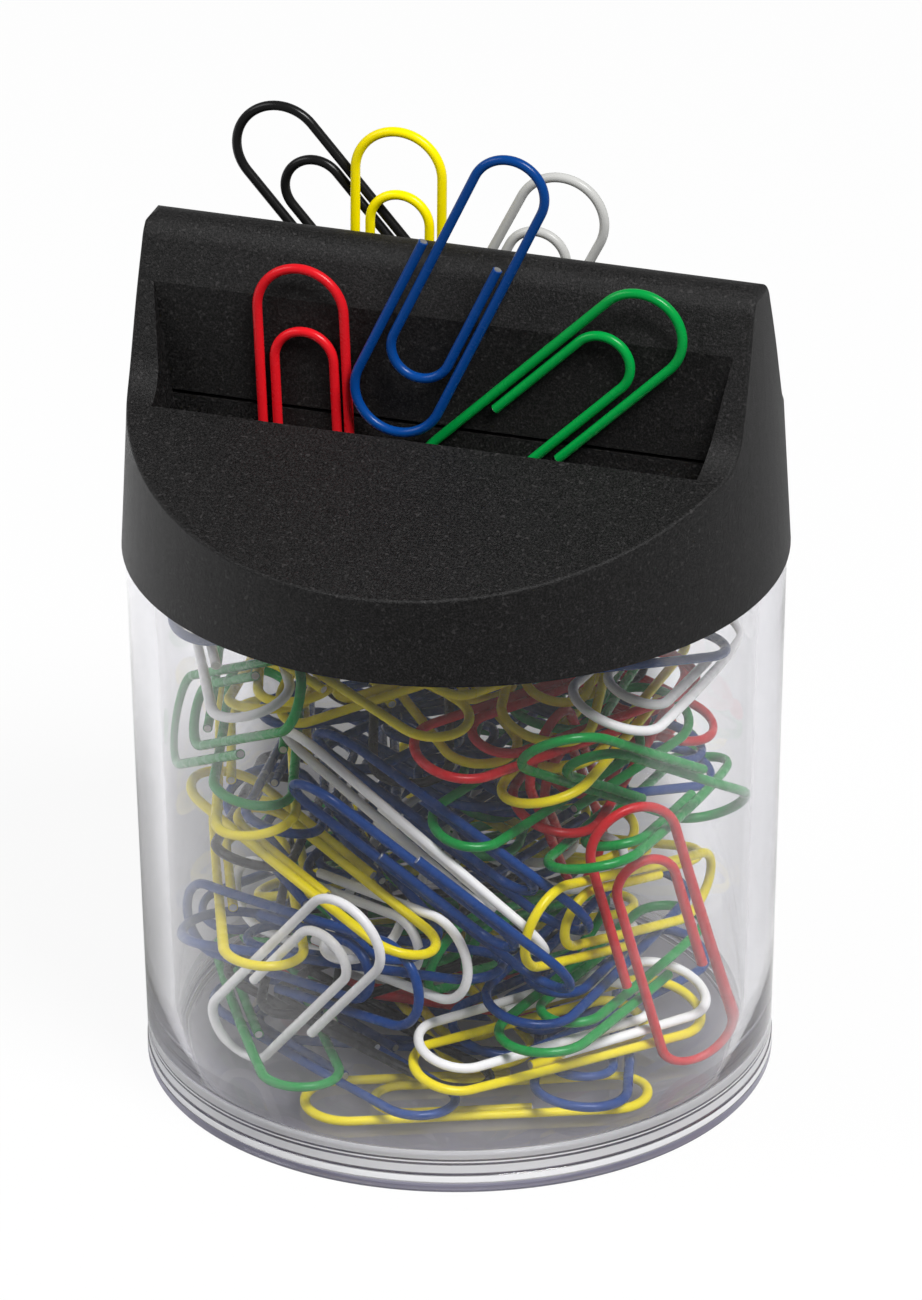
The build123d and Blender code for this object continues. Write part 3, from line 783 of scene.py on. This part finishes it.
class HOLDER_OT_stage(bpy.types.Operator):
    """Make the table, the light and the camera"""

    bl_idname = "holder.stage"
    bl_label = "Stage"
    bl_options = {"REGISTER", "UNDO"}

    def execute(self, context):
        stage = context.scene.clip_holder.stage
        mesh = bpy.data.meshes.new("table")
        corners = [(x * TABLE_HALF, y * TABLE_HALF, 0) for x, y in ((-1, -1), (1, -1), (1, 1), (-1, 1))]
        mesh.from_pydata(corners, [], [(0, 1, 2, 3)])
        table = bpy.data.objects.new("table", mesh)
        table.location.z = -TABLE_DROP
        mesh.materials.append(floor_material("pale_table", stage))
        context.scene.collection.objects.link(table)
        self.room(context, stage)
        self.lamp(context, "key", stage.key_place, stage.key_size, stage.key_power)
        self.lamp(context, "side", stage.side_place, stage.side_size, stage.side_power)
        self.camera(context, stage)
        context.scene.view_settings.view_transform = "Standard"
        return {"FINISHED"}

    def room(self, context, stage):
        """Brighter low behind and low in front than above, and plain white where the camera sees it."""
        world = bpy.data.worlds.new("room")
        context.scene.world = world
        tree = Tree(world)
        way = tree.add("ShaderNodeSeparateXYZ", None, {0: tree.add("ShaderNodeTexCoord").out("Generated")})
        nearer = way.out("X") * math.sin(stage.azimuth) - way.out("Y") * math.cos(stage.azimuth)
        low = 1 - way.out("Z").ramp(*LOW_LIGHT)
        behind = (-nearer).ramp(*BACK_LIGHT) * stage.back_light
        before = nearer.ramp(*FRONT_LIGHT) * stage.front_light
        light = stage.room_light + low * (behind + before)
        light = light.either(tree.add("ShaderNodeLightPath").out("Is Camera Ray"))
        grey = tree.blend(light, BLACK, WHITE)
        back = tree.add("ShaderNodeBackground", None, {"Color": grey, "Strength": 1.0})
        tree.add("ShaderNodeOutputWorld", None, {"Surface": back})

    def lamp(self, context, name, place, size, power):
        data = bpy.data.lights.new(name, "AREA")
        data.shape = "DISK"
        data.size = size
        data.energy = power
        lamp = bpy.data.objects.new(name, data)
        lamp.location = place
        aim = Vector((0, 0, AIM_HEIGHT)) - Vector(place)
        lamp.rotation_euler = aim.to_track_quat("-Z", "Y").to_euler()
        context.scene.collection.objects.link(lamp)

    def camera(self, context, stage):
        a, e, r = stage.azimuth, stage.elevation, stage.roll
        back = Vector((math.sin(a) * math.cos(e), -math.cos(a) * math.cos(e), math.sin(e)))
        level = Vector((math.cos(a), math.sin(a), 0))
        upright = back.cross(level)
        right = math.cos(r) * level + math.sin(r) * upright
        up = math.cos(r) * upright - math.sin(r) * level
        data = bpy.data.cameras.new("camera")
        data.lens = stage.lens
        data.sensor_width = SENSOR_WIDTH
        data.shift_x = stage.shift_x
        data.shift_y = stage.shift_y
        data.clip_end = VIEW_END
        camera = bpy.data.objects.new("camera", data)
        turn = Matrix((right, up, back)).transposed().to_4x4()
        camera.matrix_world = Matrix.Translation(Vector((0, 0, stage.target)) + stage.distance * back) @ turn
        context.scene.collection.objects.link(camera)
        context.scene.camera = camera


class HOLDER_PT_panel(bpy.types.Panel):
    """Sidebar panel of the holder"""

    bl_idname = "HOLDER_PT_panel"
    bl_label = "Clip Holder"
    bl_space_type = "VIEW_3D"
    bl_region_type = "UI"
    bl_category = "Clip Holder"

    def draw(self, context):
        for operator in OPERATORS:
            self.layout.operator(operator.bl_idname)


OPERATORS = (HOLDER_OT_cup, HOLDER_OT_cap, HOLDER_OT_clips, HOLDER_OT_stage)
CLASSES = (CupSettings, CapSettings, ClipSettings, StageSettings, HolderSettings, *OPERATORS, HOLDER_PT_panel)


def register():
    for item in CLASSES:
        bpy.utils.register_class(item)
    bpy.types.Scene.clip_holder = PointerProperty(type=HolderSettings)


def unregister():
    del bpy.types.Scene.clip_holder
    for item in reversed(CLASSES):
        bpy.utils.unregister_class(item)


def main():
    register()
    bpy.ops.holder.cup()
    bpy.ops.holder.cap()
    bpy.ops.holder.clips()
    bpy.ops.holder.stage()


if __name__ == "__main__":
    main()
